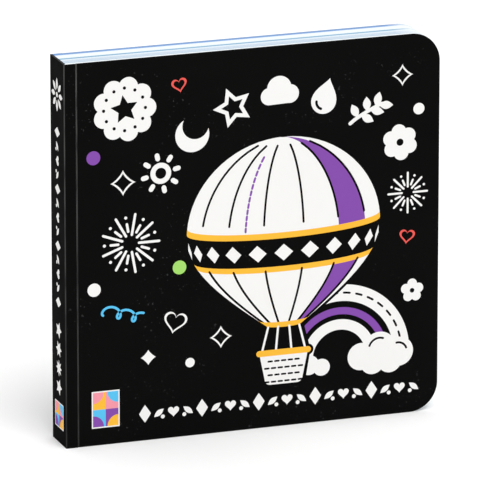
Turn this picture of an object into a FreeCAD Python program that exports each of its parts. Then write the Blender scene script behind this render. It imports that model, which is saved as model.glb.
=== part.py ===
"""A small square board book that stands closed on its tail edge.

The frame: X runs across the cover from the spine to the fore-edge, Y through the thickness from
the front cover to the back cover, Z up from the tail to the head. The origin is the middle of
the rectangle that the tail edge stands on. Lengths are millimetres.
"""
import FreeCAD, Part
import math
import os

import Sketcher
from FreeCAD import Vector

# Driving sizes, one independent length or number each
SIZES = {
    "cover_width": 160.0,
    "cover_height": 160.0,
    "corner_radius": 12.2,
    "leaf_count": 6,
    "leaf_thickness": 2.2,
    "pastedown_thickness": 1.3,
    "wrap_thickness": 1.0,
    "hinge_width": 5.2,
    "spine_fold_radius": 0.4,
    "crease_depth": 0.3,
    "rim_radius": 0.3,
    "page_gap_depth": 0.6,
    "page_gap_width": 0.24,
}

# Distances from the middle of the book, worked out from the driving sizes
FORE_EDGE = "sizes.cover_width / 2"
SPINE_FACE = "sizes.cover_width / 2"
SPINE_INSIDE = "sizes.cover_width / 2 - sizes.wrap_thickness"
CREASE = "sizes.cover_width / 2 - sizes.hinge_width"
BLOCK_FACE = "sizes.leaf_count * sizes.leaf_thickness / 2"
BOARD_FACE = BLOCK_FACE + " + sizes.pastedown_thickness"
COVER_FACE = BOARD_FACE + " + sizes.wrap_thickness"

# The two sides of the book, as the direction of Y
FRONT = -1
BACK = 1

doc = FreeCAD.newDocument("board_book")


def make_sheet():
    """Write the driving sizes into the sheet, one named cell each."""
    sheet = doc.addObject("Spreadsheet::Sheet", "sizes")
    for row, (name, value) in enumerate(SIZES.items(), start=1):
        sheet.set(f"A{row}", name.replace("_", " "))
        sheet.set(f"B{row}", str(value))
        sheet.setAlias(f"B{row}", name)
    doc.recompute()
    return sheet


sizes = make_sheet()


def value_of(expression):
    """The number that an expression gives now, to draw a sketch near its final shape."""
    return float(sizes.evalExpression(expression.replace("sizes.", "")))


def new_body(name):
    body = doc.addObject("PartDesign::Body", name)
    body.Label = name
    body.Placement = FreeCAD.Placement()
    return body


def origin_part(body, role):
    """One of the body's own origin planes or axes, such as XZ_Plane."""
    return next(item for item in body.Origin.OriginFeatures if item.Role == role)


def new_sketch(body, name, plane, offset=None):
    """A sketch on an origin plane, moved along the plane's normal by an expression."""
    sketch = body.newObject("Sketcher::SketchObject", name)
    sketch.AttachmentSupport = [(origin_part(body, plane), "")]
    sketch.MapMode = "FlatFace"
    if offset:
        sketch.setExpression("AttachmentOffset.Base.z", offset)
    return sketch


def draw_line(sketch, start, end):
    return sketch.addGeometry(Part.LineSegment(Vector(*start, 0), Vector(*end, 0)))


def draw_quarter(sketch, middle, radius, start_angle):
    """A quarter of a circle, drawn anticlockwise from its start angle."""
    circle = Part.Circle(Vector(*middle, 0), Vector(0, 0, 1), radius)
    return sketch.addGeometry(Part.ArcOfCircle(circle, start_angle, start_angle + math.pi / 2))


def draw_polygon(sketch, points):
    """Join the points into a closed outline and keep its level and upright sides so."""
    corners = list(zip(points, points[1:] + points[:1]))
    sides = [draw_line(sketch, start, end) for start, end in corners]
    for before, after in zip(sides, sides[1:] + sides[:1]):
        tie(sketch, "Coincident", before, 2, after, 1)
    for side, (start, end) in zip(sides, corners):
        if start[0] == end[0]:
            tie(sketch, "Vertical", side)
        elif start[1] == end[1]:
            tie(sketch, "Horizontal", side)
    return sides


def tie(sketch, kind, *items):
    sketch.addConstraint(Sketcher.Constraint(kind, *items))


def bind(sketch, kind, *items, to):
    """Add one driving dimension and bind it to an expression of the sheet."""
    number = sketch.addConstraint(Sketcher.Constraint(kind, *items, value_of(to)))
    sketch.setExpression(f"Constraints[{number}]", to)


def draw_trimmed_outline(sketch, spine_side, closed):
    """Draw the trimmed edge of a board: tail, corner, fore-edge, corner, head.

    spine_side is the distance from the middle of the book to where the outline starts. A closed
    outline has that side too, and an open one is the path of a groove.
    """
    left, right = -value_of(spine_side), value_of(FORE_EDGE)
    top, radius = value_of("sizes.cover_height"), value_of("sizes.corner_radius")

    tail = draw_line(sketch, (left, 0), (right - radius, 0))
    tail_corner = draw_quarter(sketch, (right - radius, radius), radius, -math.pi / 2)
    fore_edge = draw_line(sketch, (right, radius), (right, top - radius))
    head_corner = draw_quarter(sketch, (right - radius, top - radius), radius, 0)
    head = draw_line(sketch, (right - radius, top), (left, top))

    run = [tail, tail_corner, fore_edge, head_corner, head]
    for before, after in zip(run, run[1:]):
        tie(sketch, "Tangent", before, 2, after, 1)
    tie(sketch, "Horizontal", tail)
    tie(sketch, "Vertical", fore_edge)
    tie(sketch, "Horizontal", head)
    tie(sketch, "Equal", tail_corner, head_corner)
    tie(sketch, "PointOnObject", tail, 1, -1)
    tie(sketch, "Vertical", tail, 1, head, 2)
    bind(sketch, "Radius", tail_corner, to="sizes.corner_radius")
    bind(sketch, "DistanceX", -1, 1, fore_edge, 1, to=FORE_EDGE)
    bind(sketch, "DistanceX", tail, 1, -1, 1, to=spine_side)
    bind(sketch, "DistanceY", tail, 1, head, 1, to="sizes.cover_height")

    if closed:
        closing_side = draw_line(sketch, (left, top), (left, 0))
        tie(sketch, "Coincident", head, 2, closing_side, 1)
        tie(sketch, "Coincident", closing_side, 2, tail, 1)


def pad(body, sketch, name, length, both_ways=False, reverse=False):
    feature = body.newObject("PartDesign::Pad", name)
    feature.Profile = sketch
    feature.setExpression("Length", length)
    if both_ways:
        feature.SideType = "Symmetric"
    feature.Reversed = reverse
    doc.recompute()
    return feature


def dress_edges(body, base, kind, name, wanted, size_property, size):
    """Round or bevel those edges of the solid so far that wanted says yes to."""
    edges = [f"Edge{number}" for number, edge in enumerate(base.Shape.Edges, start=1) if wanted(edge)]
    feature = body.newObject(f"PartDesign::{kind}", name)
    feature.Base = (base, edges)
    feature.setExpression(size_property, size)
    doc.recompute()
    return feature


def lies_at(edge, **place):
    """True where both ends of the edge have the given x, y or z."""
    tolerance = 1e-4
    return all(abs(getattr(vertex.Point, axis) - value) < tolerance
               for vertex in edge.Vertexes for axis, value in place.items())


def cut_page_gap(body, in_front):
    """Sweep the V between two pages round tail, fore-edge and head.

    in_front is the distance from the middle of the book towards the front cover. The V stands on
    the tail edge, and its open end is carried on outside the board by its own depth.
    """
    path = new_sketch(body, "page_gap_path", "XZ_Plane", offset=in_front)
    draw_trimmed_outline(path, SPINE_INSIDE, closed=False)

    section = new_sketch(body, "page_gap_section", "YZ_Plane", offset=f"-({SPINE_INSIDE})")
    middle = -value_of(in_front)
    depth, width = value_of("sizes.page_gap_depth"), value_of("sizes.page_gap_width")
    points = [(middle - width, -depth), (middle + width, -depth), (middle, depth)]
    open_end, back_side, front_side = draw_polygon(section, points)
    tie(section, "Equal", back_side, front_side)
    bind(section, "DistanceX", open_end, 1, open_end, 2, to="2 * sizes.page_gap_width")
    bind(section, "DistanceY", open_end, 1, -1, 1, to="sizes.page_gap_depth")
    bind(section, "DistanceY", -1, 1, back_side, 2, to="sizes.page_gap_depth")
    bind(section, "DistanceX", back_side, 2, -1, 1, to=in_front)
    doc.recompute()

    gap = body.newObject("PartDesign::SubtractivePipe", "page_gap")
    gap.Profile = section
    gap.Spine = path
    doc.recompute()
    return gap


def make_spine_cover():
    """The folded board at the spine: its flat back and a glued strip up to each crease."""
    body = new_body("spine_cover")
    section = new_sketch(body, "fold_section", "XY_Plane")
    spine, inside, crease = -value_of(SPINE_FACE), -value_of(SPINE_INSIDE), -value_of(CREASE)
    outside, glued = value_of(COVER_FACE), value_of(BOARD_FACE)
    front_end, front_inside, back_wall, back_inside, back_end, _, spine_back, _ = draw_polygon(section, [
        (crease, -outside), (crease, -glued), (inside, -glued), (inside, glued),
        (crease, glued), (crease, outside), (spine, outside), (spine, -outside),
    ])
    tie(section, "Equal", front_inside, back_inside)
    tie(section, "Equal", front_end, back_end)
    bind(section, "DistanceX", spine_back, 1, -1, 1, to=SPINE_FACE)
    bind(section, "DistanceX", back_wall, 1, -1, 1, to=SPINE_INSIDE)
    bind(section, "DistanceX", front_end, 1, -1, 1, to=CREASE)
    bind(section, "DistanceY", spine_back, 2, -1, 1, to=COVER_FACE)
    bind(section, "DistanceY", -1, 1, spine_back, 1, to=COVER_FACE)
    bind(section, "DistanceY", front_end, 1, front_end, 2, to="sizes.wrap_thickness")
    folded = pad(body, section, "folded_board", "sizes.cover_height")

    def on_both_faces(edge, x):
        return lies_at(edge, x=x, y=-outside) or lies_at(edge, x=x, y=outside)

    rounded = dress_edges(body, folded, "Fillet", "spine_folds",
                          lambda edge: on_both_faces(edge, spine), "Radius", "sizes.spine_fold_radius")
    dress_edges(body, rounded, "Chamfer", "crease_sides",
                lambda edge: on_both_faces(edge, crease), "Size", "sizes.crease_depth")
    return body


def make_page_block():
    """The leaves, glued to one another at the gutter, with a V between their trimmed edges."""
    body = new_body("page_block")
    outline = new_sketch(body, "leaf_outline", "XZ_Plane")
    draw_trimmed_outline(outline, SPINE_INSIDE, closed=True)
    pad(body, outline, "leaves", f"2 * ({BLOCK_FACE})", both_ways=True)

    # The stubs of the two pasted sheets fill the fold of the spine up to the creases.
    section = new_sketch(body, "gutter_section", "XY_Plane")
    inside, crease, glued = -value_of(SPINE_INSIDE), -value_of(CREASE), value_of(BOARD_FACE)
    _, crease_side, _, spine_side = draw_polygon(
        section, [(inside, -glued), (crease, -glued), (crease, glued), (inside, glued)])
    bind(section, "DistanceX", spine_side, 1, -1, 1, to=SPINE_INSIDE)
    bind(section, "DistanceX", crease_side, 1, -1, 1, to=CREASE)
    bind(section, "DistanceY", crease_side, 1, -1, 1, to=BOARD_FACE)
    bind(section, "DistanceY", -1, 1, crease_side, 2, to=BOARD_FACE)
    pad(body, section, "gutter_stubs", "sizes.cover_height")

    gap = cut_page_gap(body, BLOCK_FACE)
    gaps = body.newObject("PartDesign::LinearPattern", "page_gaps")
    gaps.Originals = [gap]
    gaps.Direction = (origin_part(body, "Y_Axis"), [""])
    gaps.setExpression("Length", f"2 * ({BLOCK_FACE})")
    gaps.setExpression("Occurrences", "sizes.leaf_count + 1")
    body.Tip = gaps
    doc.recompute()
    return body


def make_cover(name, side):
    """A cover board from its crease to the fore-edge, printed side out."""
    body = new_body(name)
    outline = new_sketch(body, "cover_outline", "XZ_Plane", offset=f"{-side} * ({BOARD_FACE})")
    draw_trimmed_outline(outline, CREASE, closed=True)
    board = pad(body, outline, "board", "sizes.wrap_thickness", reverse=side == BACK)

    printed_face = side * value_of(COVER_FACE)
    crease, lip = -value_of(CREASE), -value_of(f"{CREASE} - sizes.crease_depth")
    creased = dress_edges(body, board, "Chamfer", "crease_side",
                          lambda edge: lies_at(edge, x=crease, y=printed_face),
                          "Size", "sizes.crease_depth")
    dress_edges(body, creased, "Fillet", "pressed_rim",
                lambda edge: lies_at(edge, y=printed_face) and not lies_at(edge, x=lip),
                "Radius", "sizes.rim_radius")
    return body


def make_pastedown(name, side):
    """The half of the first or last printed sheet that is glued inside its cover."""
    body = new_body(name)
    page_face = f"{-side} * ({BLOCK_FACE})"
    outline = new_sketch(body, "sheet_outline", "XZ_Plane", offset=page_face)
    draw_trimmed_outline(outline, CREASE, closed=True)
    pad(body, outline, "sheet", "sizes.pastedown_thickness", reverse=side == BACK)
    cut_page_gap(body, page_face)
    return body


def check_document(bodies):
    """Stop with a plain message if a feature failed or a piece isn't one valid solid."""
    for item in doc.Objects:
        for state in ("Invalid", "Error"):
            if state in item.State:
                raise RuntimeError(f"{item.Name}: {state}")
    for body in bodies:
        shape = body.Shape
        if shape.isNull() or not shape.isValid() or len(shape.Solids) != 1:
            raise RuntimeError(f"{body.Label} isn't one valid solid")
        box = shape.optimalBoundingBox(False)
        size = f"{box.XLength:.2f} x {box.YLength:.2f} x {box.ZLength:.2f}"
        print(f"{body.Label}: {size} mm, {shape.Volume:.1f} cubic mm")


pieces = [
    make_spine_cover(),
    make_page_block(),
    make_cover("front_cover", FRONT),
    make_pastedown("front_pastedown", FRONT),
    make_cover("back_cover", BACK),
    make_pastedown("back_pastedown", BACK),
]
doc.recompute()
check_document(pieces)

os.makedirs("parts", exist_ok=True)
for piece in pieces:
    piece.Shape.exportStep(f"parts/{piece.Label}.step")
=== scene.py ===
"""Looks of a small square board book that stands closed on its tail edge.

The printed boards are meshes of their own, cut along the edge of each printed shape, so the print
is geometry with one ink per face. Positions in a print are millimetres on the board, and
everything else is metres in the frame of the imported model.
"""

import logging
import math
import random
from collections.abc import Callable, Sequence
from dataclasses import dataclass, field
from enum import Enum
from typing import ClassVar

import bmesh
import bpy
import numpy as np
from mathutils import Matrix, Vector
from mathutils.geometry import delaunay_2d_cdt

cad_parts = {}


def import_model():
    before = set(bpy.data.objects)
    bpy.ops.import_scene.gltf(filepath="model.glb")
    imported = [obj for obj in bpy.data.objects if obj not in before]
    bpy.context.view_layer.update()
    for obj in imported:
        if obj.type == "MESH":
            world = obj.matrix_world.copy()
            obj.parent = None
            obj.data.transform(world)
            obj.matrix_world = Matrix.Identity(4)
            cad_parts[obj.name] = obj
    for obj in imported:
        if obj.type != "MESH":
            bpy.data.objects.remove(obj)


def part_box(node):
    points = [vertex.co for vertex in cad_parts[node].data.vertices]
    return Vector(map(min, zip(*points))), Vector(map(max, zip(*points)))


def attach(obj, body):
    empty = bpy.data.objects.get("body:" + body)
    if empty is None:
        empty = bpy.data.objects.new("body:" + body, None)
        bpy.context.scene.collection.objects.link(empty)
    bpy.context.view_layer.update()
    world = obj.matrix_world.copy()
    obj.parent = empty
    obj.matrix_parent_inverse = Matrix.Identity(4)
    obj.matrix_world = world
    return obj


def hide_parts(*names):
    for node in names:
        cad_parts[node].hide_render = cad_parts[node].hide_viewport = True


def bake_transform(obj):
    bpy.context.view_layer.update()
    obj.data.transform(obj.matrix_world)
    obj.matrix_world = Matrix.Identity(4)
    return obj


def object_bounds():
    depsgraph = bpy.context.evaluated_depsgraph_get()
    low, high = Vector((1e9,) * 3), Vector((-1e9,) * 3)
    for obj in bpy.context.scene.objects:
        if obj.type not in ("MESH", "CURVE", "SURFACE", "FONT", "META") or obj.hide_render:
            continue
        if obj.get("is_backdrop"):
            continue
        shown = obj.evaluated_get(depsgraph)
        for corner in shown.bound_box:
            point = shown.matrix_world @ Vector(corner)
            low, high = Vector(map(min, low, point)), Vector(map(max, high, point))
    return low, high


LOG = logging.getLogger("board_book")
MM = 0.001

Point = tuple[float, float]
Span = tuple[float, float]
Outline = list[Point]
Place = tuple[float, float, float]
Colour = tuple[float, float, float]


class Side(Enum):
    """The two covers, as the direction of Y that each faces."""

    FRONT = -1
    BACK = 1


class Ink(Enum):
    """The inks of the print."""

    BLACK = "black"
    WHITE = "white"
    YELLOW = "yellow"
    PURPLE = "purple"
    GREEN = "green"
    CORAL = "coral"
    SKY = "sky"
    PINK = "pink"


# Finishes


BARE_BOARD: Colour = (0.765, 0.81, 0.83)


class NodeBoard:
    """A material's node tree, with short calls for the nodes that the finishes share."""

    def __init__(self, name: str) -> None:
        """Make an empty material with one Principled shader.

        Args:
            name: The material's name.
        """
        self.material = bpy.data.materials.new(name)
        self.material.use_nodes = True
        self.tree = self.material.node_tree
        self.tree.nodes.clear()
        self.shader = self.tree.nodes.new("ShaderNodeBsdfPrincipled")
        output = self.tree.nodes.new("ShaderNodeOutputMaterial")
        self.link(self.shader.outputs["BSDF"], output.inputs["Surface"])
        place = self.tree.nodes.new("ShaderNodeTexCoord")
        self.place = place.outputs["Object"]

    def link(self, start: bpy.types.NodeSocket, end: bpy.types.NodeSocket) -> None:
        """Join two sockets."""
        self.tree.links.new(start, end)

    def distance(self, axis: str) -> bpy.types.NodeSocket:
        """How far each point is along one of the object's axes.

        Args:
            axis: X, Y or Z.

        Returns:
            The socket with the distance in metres.
        """
        node = self.tree.nodes.new("ShaderNodeSeparateXYZ")
        self.link(self.place, node.inputs["Vector"])
        return node.outputs[axis]

    def stretched(self, scale: Place) -> bpy.types.NodeSocket:
        """The object's own coordinates, scaled along each axis.

        Args:
            scale: How much finer the pattern is along X, Y and Z.

        Returns:
            The socket with the scaled coordinates.
        """
        mapping = self.tree.nodes.new("ShaderNodeMapping")
        mapping.inputs["Scale"].default_value = scale
        self.link(self.place, mapping.inputs["Vector"])
        return mapping.outputs["Vector"]

    def noise(self, scale: float, detail: float = 2.0, stretch: Place = (1, 1, 1)) -> bpy.types.NodeSocket:
        """Soft noise from 0 to 1 over the surface.

        Args:
            scale: Pattern size, as waves in a metre.
            detail: How many finer layers are added.
            stretch: Extra scale along X, Y and Z.

        Returns:
            The socket with the noise.
        """
        node = self.tree.nodes.new("ShaderNodeTexNoise")
        node.inputs["Scale"].default_value = scale
        node.inputs["Detail"].default_value = detail
        self.link(self.stretched(stretch), node.inputs["Vector"])
        return node.outputs["Fac"]

    def between(self, source: bpy.types.NodeSocket, low: float, high: float,
                start: float = 0.0, end: float = 1.0) -> bpy.types.NodeSocket:
        """Map a value that runs from low to high onto start to end.

        Args:
            source: The value.
            low: Where the value starts.
            high: Where the value ends.
            start: The result at low.
            end: The result at high.

        Returns:
            The socket with the mapped value, held within start and end.
        """
        node = self.tree.nodes.new("ShaderNodeMapRange")
        node.inputs["From Min"].default_value = low
        node.inputs["From Max"].default_value = high
        node.inputs["To Min"].default_value = start
        node.inputs["To Max"].default_value = end
        self.link(source, node.inputs["Value"])
        return node.outputs["Result"]

    def mixed(self, factor: bpy.types.NodeSocket, first: Colour, second: Colour) -> bpy.types.NodeSocket:
        """Blend two colours by a factor from 0 to 1.

        Args:
            factor: The share of the second colour.
            first: The colour at 0.
            second: The colour at 1.

        Returns:
            The socket with the colour.
        """
        node = self.tree.nodes.new("ShaderNodeMix")
        node.data_type = "RGBA"
        node.inputs["A"].default_value = (*first, 1)
        node.inputs["B"].default_value = (*second, 1)
        self.link(factor, node.inputs["Factor"])
        return node.outputs["Result"]

    def laid_over(self, ground: bpy.types.NodeSocket, colour: Colour,
                  cover: bpy.types.NodeSocket) -> bpy.types.NodeSocket:
        """Lay a colour over another where a cover value is high.

        Args:
            ground: The colour below.
            colour: The colour on top.
            cover: How much of it covers, from 0 to 1.

        Returns:
            The socket with the colour.
        """
        node = self.tree.nodes.new("ShaderNodeMix")
        node.data_type = "RGBA"
        node.inputs["B"].default_value = (*colour, 1)
        self.link(ground, node.inputs["A"])
        self.link(cover, node.inputs["Factor"])
        return node.outputs["Result"]

    def product(self, first: bpy.types.NodeSocket, second: bpy.types.NodeSocket) -> bpy.types.NodeSocket:
        """Multiply two values.

        Args:
            first: One value.
            second: The other.

        Returns:
            The socket with the product.
        """
        node = self.tree.nodes.new("ShaderNodeMath")
        node.operation = "MULTIPLY"
        self.link(first, node.inputs[0])
        self.link(second, node.inputs[1])
        return node.outputs["Value"]

    def bump(self, height: bpy.types.NodeSocket, depth: float) -> None:
        """Press a height pattern into the shader's normal.

        Args:
            height: The pattern, from 0 to 1.
            depth: Its full height in metres.
        """
        node = self.tree.nodes.new("ShaderNodeBump")
        node.inputs["Strength"].default_value = 1.0
        node.inputs["Distance"].default_value = depth
        self.link(height, node.inputs["Height"])
        self.link(node.outputs["Normal"], self.shader.inputs["Normal"])


def scaled(colour: Colour, factor: float) -> Colour:
    """A colour made lighter or darker, held under white."""
    return tuple(min(1.0, channel * factor) for channel in colour)


@dataclass(frozen=True)
class CornerFade:
    """How the tint of the page edges pales towards the rounded corners and the fore-edge."""

    start: float = 62.5 * MM
    end: float = 71.0 * MM
    paleness: float = 0.8
    bare: Colour = BARE_BOARD

    def over(self, board: NodeBoard, tint: bpy.types.NodeSocket) -> bpy.types.NodeSocket:
        """Lay the bare board's colour over the tint, more and more from the fade's start to its end."""
        cover = board.between(board.distance("X"), self.start, self.end, 0.0, self.paleness)
        return board.laid_over(tint, self.bare, cover)


@dataclass(frozen=True)
class PrintFinish:
    """Ink under a thin satin film, as on the printed face of a board.

    Each noise has a number of waves in a metre, and a range of its values that is spread out.
    """

    name: str
    colour: Colour
    specular: float = 0.05
    smooth_film: float = 0.4
    rough_film: float = 0.52
    mottle: float = 0.05
    fleck: Colour | None = None
    fade: CornerFade | None = None
    film_ripple: float = 0.004 * MM
    ripple_waves: float = 1400.0
    cloud_waves: float = 38.0
    cloud_range: Span = (0.3, 0.7)
    grain_waves: float = 950.0
    grain_range: Span = (0.7, 0.76)
    patch_waves: float = 45.0
    patch_range: Span = (0.56, 0.66)
    handling_waves: float = 90.0
    handling_range: Span = (0.35, 0.65)

    def material(self) -> bpy.types.Material:
        """Build the ink's material.

        Returns:
            A Principled material with uneven ink, uneven film and a faint ripple.
        """
        board = NodeBoard(self.name)
        cloud = board.between(board.noise(self.cloud_waves, detail=4), *self.cloud_range)
        ink = board.mixed(cloud, self.colour, scaled(self.colour, 1 + self.mottle))
        if self.fleck:
            grains = board.between(board.noise(self.grain_waves, detail=1), *self.grain_range)
            patches = board.between(board.noise(self.patch_waves, detail=1), *self.patch_range)
            ink = board.laid_over(ink, self.fleck, board.product(grains, patches))
        if self.fade:
            ink = self.fade.over(board, ink)
        board.link(ink, board.shader.inputs["Base Color"])
        handling = board.noise(self.handling_waves, detail=5)
        board.link(board.between(handling, *self.handling_range, self.smooth_film, self.rough_film),
                   board.shader.inputs["Roughness"])
        board.shader.inputs["Specular IOR Level"].default_value = self.specular
        board.bump(board.noise(self.ripple_waves, detail=2), self.film_ripple)
        return board.material


@dataclass(frozen=True)
class WearAndHighlightFinish:
    """A folded or pressed edge, where grey fibres show through the black ink; on the fold and the crease
    the grey is also a painted highlight, and on every such edge it is painted lighter towards the head,
    where the light from above falls.
    """

    name: str
    ink: Colour = (0.004, 0.004, 0.004)
    # On folds and creases this grey is partly rubbed fibre and partly a painted highlight.
    fibre: Colour = (0.07, 0.07, 0.069)
    streak_from: float = 0.2
    streak_to: float = 0.6
    # Painted light: how much of the grey is left at the tail, with the head painted lightest.
    painted_light_tail_share: float = 0.42
    head: float = 160 * MM
    specular: float = 0.05
    roughness: float = 0.5
    crackle: float = 0.012 * MM
    streak_waves: float = 900.0
    streak_stretch: Place = (1, 1, 0.12)

    def material(self) -> bpy.types.Material:
        """Build the worn edge's material.

        Returns:
            A Principled material with broken streaks of fibre along the edge, which on folds and creases
            are also a painted highlight, with painted light that makes them fainter to the tail.
        """
        board = NodeBoard(self.name)
        streaks = board.noise(self.streak_waves, detail=4, stretch=self.streak_stretch)
        # Streaks of rubbed fibre; on folds and creases they also paint a highlight.
        worn = board.between(streaks, self.streak_from, self.streak_to)
        # Painted light: the streaks are lighter towards the head and fainter towards the tail.
        painted_top_light = board.between(board.distance("Z"), 0.0, self.head, self.painted_light_tail_share, 1.0)
        board.link(board.mixed(board.product(worn, painted_top_light), self.ink, self.fibre),
                   board.shader.inputs["Base Color"])
        board.shader.inputs["Roughness"].default_value = self.roughness
        board.shader.inputs["Specular IOR Level"].default_value = self.specular
        board.bump(streaks, self.crackle)
        return board.material


@dataclass(frozen=True)
class CutBoardFinish:
    """The trimmed edge of board: pressed layers of fibre, a little darker in streaks."""

    name: str
    colour: Colour = BARE_BOARD
    streak: float = 0.92
    fade: CornerFade | None = None
    roughness: float = 0.85
    specular: float = 0.2
    layer_waves: float = 260.0
    layer_stretch: Place = (0.15, 14, 0.15)
    layer_range: Span = (0.45, 0.8)
    fibre_waves: float = 2600.0
    fibre_height: float = 0.03 * MM

    def material(self) -> bpy.types.Material:
        """Build the cut board's material.

        Returns:
            A Principled material with fine layers across the board's thickness.
        """
        board = NodeBoard(self.name)
        layers = board.noise(self.layer_waves, detail=3, stretch=self.layer_stretch)
        fibres = board.noise(self.fibre_waves, detail=3)
        streaks = board.between(layers, *self.layer_range)
        edge = board.mixed(streaks, self.colour, scaled(self.colour, self.streak))
        if self.fade:
            edge = self.fade.over(board, edge)
        board.link(edge, board.shader.inputs["Base Color"])
        board.shader.inputs["Roughness"].default_value = self.roughness
        board.shader.inputs["Specular IOR Level"].default_value = self.specular
        board.bump(fibres, self.fibre_height)
        return board.material


INKS: dict[Ink, PrintFinish] = {
    Ink.BLACK: PrintFinish("black_print", (0.0017, 0.0017, 0.0016), specular=0.03, mottle=0.3,
                           fleck=(0.03, 0.03, 0.03)),
    Ink.WHITE: PrintFinish("white_print", (0.77, 0.764, 0.75), mottle=0.015),
    Ink.YELLOW: PrintFinish("yellow_print", (0.82, 0.43, 0.04)),
    Ink.PURPLE: PrintFinish("purple_print", (0.2, 0.065, 0.34)),
    Ink.GREEN: PrintFinish("green_print", (0.31, 0.6, 0.13)),
    Ink.CORAL: PrintFinish("coral_print", (0.7, 0.09, 0.075)),
    Ink.SKY: PrintFinish("sky_print", (0.09, 0.46, 0.74)),
    Ink.PINK: PrintFinish("pink_print", (0.76, 0.27, 0.33)),
}
# Painted light: the cover's black ink copied for the spine, with its sheen taken off and its colour made
# lighter to fit the light on the spine.
SPINE_BLACK_SET_FOR_LIGHT = PrintFinish("black_spine_print_set_for_light", (0.003, 0.003, 0.0029), specular=0.002, mottle=0.3)
PAGE_PRINT = PrintFinish("pale_blue_page", (0.43, 0.57, 0.71), specular=0.12, mottle=0.02)
FADE = CornerFade()
WHITE_EDGE = CutBoardFinish("white_cut_board")
TINTED_EDGE = CutBoardFinish("tinted_cut_board", (0.545, 0.615, 0.695), fade=FADE)
PALE_EDGE = CutBoardFinish("pale_cut_board", (0.68, 0.745, 0.79), fade=FADE)
BLUE_EDGE = CutBoardFinish("blue_cut_board", (0.15, 0.27, 0.49), streak=0.85, fade=FADE)
# Painted light on all four edges below: the grey is painted lighter towards the head, where the light from
# above falls.
CUT_BLACK = WearAndHighlightFinish("cut_black_board", fibre=(0.012, 0.012, 0.012))
# Fold and crease: grey of rubbed fibre that also stands in for a painted highlight where the light catches
# the edge.
FOLD_WEAR_AND_HIGHLIGHT = WearAndHighlightFinish("rubbed_fold_and_painted_highlight", fibre=(0.062, 0.062, 0.061))
CREASE_WEAR_AND_HIGHLIGHT = WearAndHighlightFinish("rubbed_crease_and_painted_highlight", fibre=(0.09, 0.09, 0.088))
RIM_WEAR = WearAndHighlightFinish("worn_rim", fibre=(0.03, 0.03, 0.029), streak_from=0.6, streak_to=0.8)


@dataclass(frozen=True)
class GapLook:
    """How the print of two facing pages shows at the gap between them."""

    tint: Colour
    bleed: float

    def finish(self) -> PrintFinish:
        """The finish of the gap's walls and of the inked band beside it."""
        name = "page_gap_" + "_".join(f"{round(channel * 100):02d}" for channel in self.tint)
        return PrintFinish(name, self.tint, mottle=0.12, fade=FADE)


PAGE_GAPS: tuple[GapLook, ...] = (
    GapLook((0.38, 0.48, 0.58), 0.45 * MM),
    GapLook((0.42, 0.54, 0.66), 0.2 * MM),
    GapLook((0.66, 0.74, 0.79), 0.1 * MM),
    GapLook((0.25, 0.41, 0.55), 0.85 * MM),
    GapLook((0.68, 0.74, 0.78), 0.05 * MM),
    GapLook((0.66, 0.73, 0.78), 0.05 * MM),
    GapLook((0.2, 0.34, 0.62), 0.6 * MM),
)
LEAF_EDGES: tuple[CutBoardFinish, ...] = (
    TINTED_EDGE, TINTED_EDGE, PALE_EDGE, WHITE_EDGE, WHITE_EDGE, WHITE_EDGE,
)
BOARD_EDGES: dict[Side, CutBoardFinish] = {Side.FRONT: WHITE_EDGE, Side.BACK: BLUE_EDGE}
SHEET_GAPS: dict[Side, GapLook] = {Side.FRONT: PAGE_GAPS[0], Side.BACK: PAGE_GAPS[-1]}

Finish = PrintFinish | WearAndHighlightFinish | CutBoardFinish


def sheet_looks(side: Side) -> tuple[Finish, ...]:
    """The finishes of a pasted sheet's edge, for each step from its page to the board."""
    gap = SHEET_GAPS[side].finish()
    return gap, gap, BOARD_EDGES[side]


# Outlines of the print


def turned(outline: Outline, angle: float, about: Point = (0.0, 0.0)) -> Outline:
    """Turn an outline anticlockwise.

    Args:
        outline: The points.
        angle: The turn in degrees.
        about: The point that stays.

    Returns:
        The turned points.
    """
    cosine, sine = math.cos(math.radians(angle)), math.sin(math.radians(angle))
    return [
        (about[0] + (x - about[0]) * cosine - (y - about[1]) * sine,
         about[1] + (x - about[0]) * sine + (y - about[1]) * cosine)
        for x, y in outline
    ]


def moved(outline: Outline, by: Point) -> Outline:
    """Shift an outline."""
    return [(x + by[0], y + by[1]) for x, y in outline]


def round_the_clock(steps: int) -> list[float]:
    """Evenly spaced angles of a full turn, in radians."""
    return [2 * math.pi * step / steps for step in range(steps)]


def disc(centre: Point, radius: float, steps: int = 40) -> Outline:
    """A circle, as an outline of evenly spaced points."""
    angles = round_the_clock(steps)
    return [(centre[0] + radius * math.cos(a), centre[1] + radius * math.sin(a)) for a in angles]


def arc_points(centre: Point, radius: float, start: float, end: float, steps: int = 24) -> Outline:
    """Points along an arc, from a start to an end angle in degrees."""
    angles = [math.radians(start + (end - start) * step / steps) for step in range(steps + 1)]
    return [(centre[0] + radius * math.cos(a), centre[1] + radius * math.sin(a)) for a in angles]


def round_cap(centre: np.ndarray, first: np.ndarray, steps: int) -> Outline:
    """The inner points of the half circle round a stroke's end.

    Args:
        centre: Where the pen's path ends.
        first: The point beside it from which the half circle starts.
        steps: The number of steps to the other side of the stroke.

    Returns:
        The points between the two sides.
    """
    arm = first - centre
    angles = [-math.pi * step / steps for step in range(1, steps)]
    return [
        (float(centre[0] + arm[0] * math.cos(a) - arm[1] * math.sin(a)),
         float(centre[1] + arm[0] * math.sin(a) + arm[1] * math.cos(a)))
        for a in angles
    ]


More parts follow.
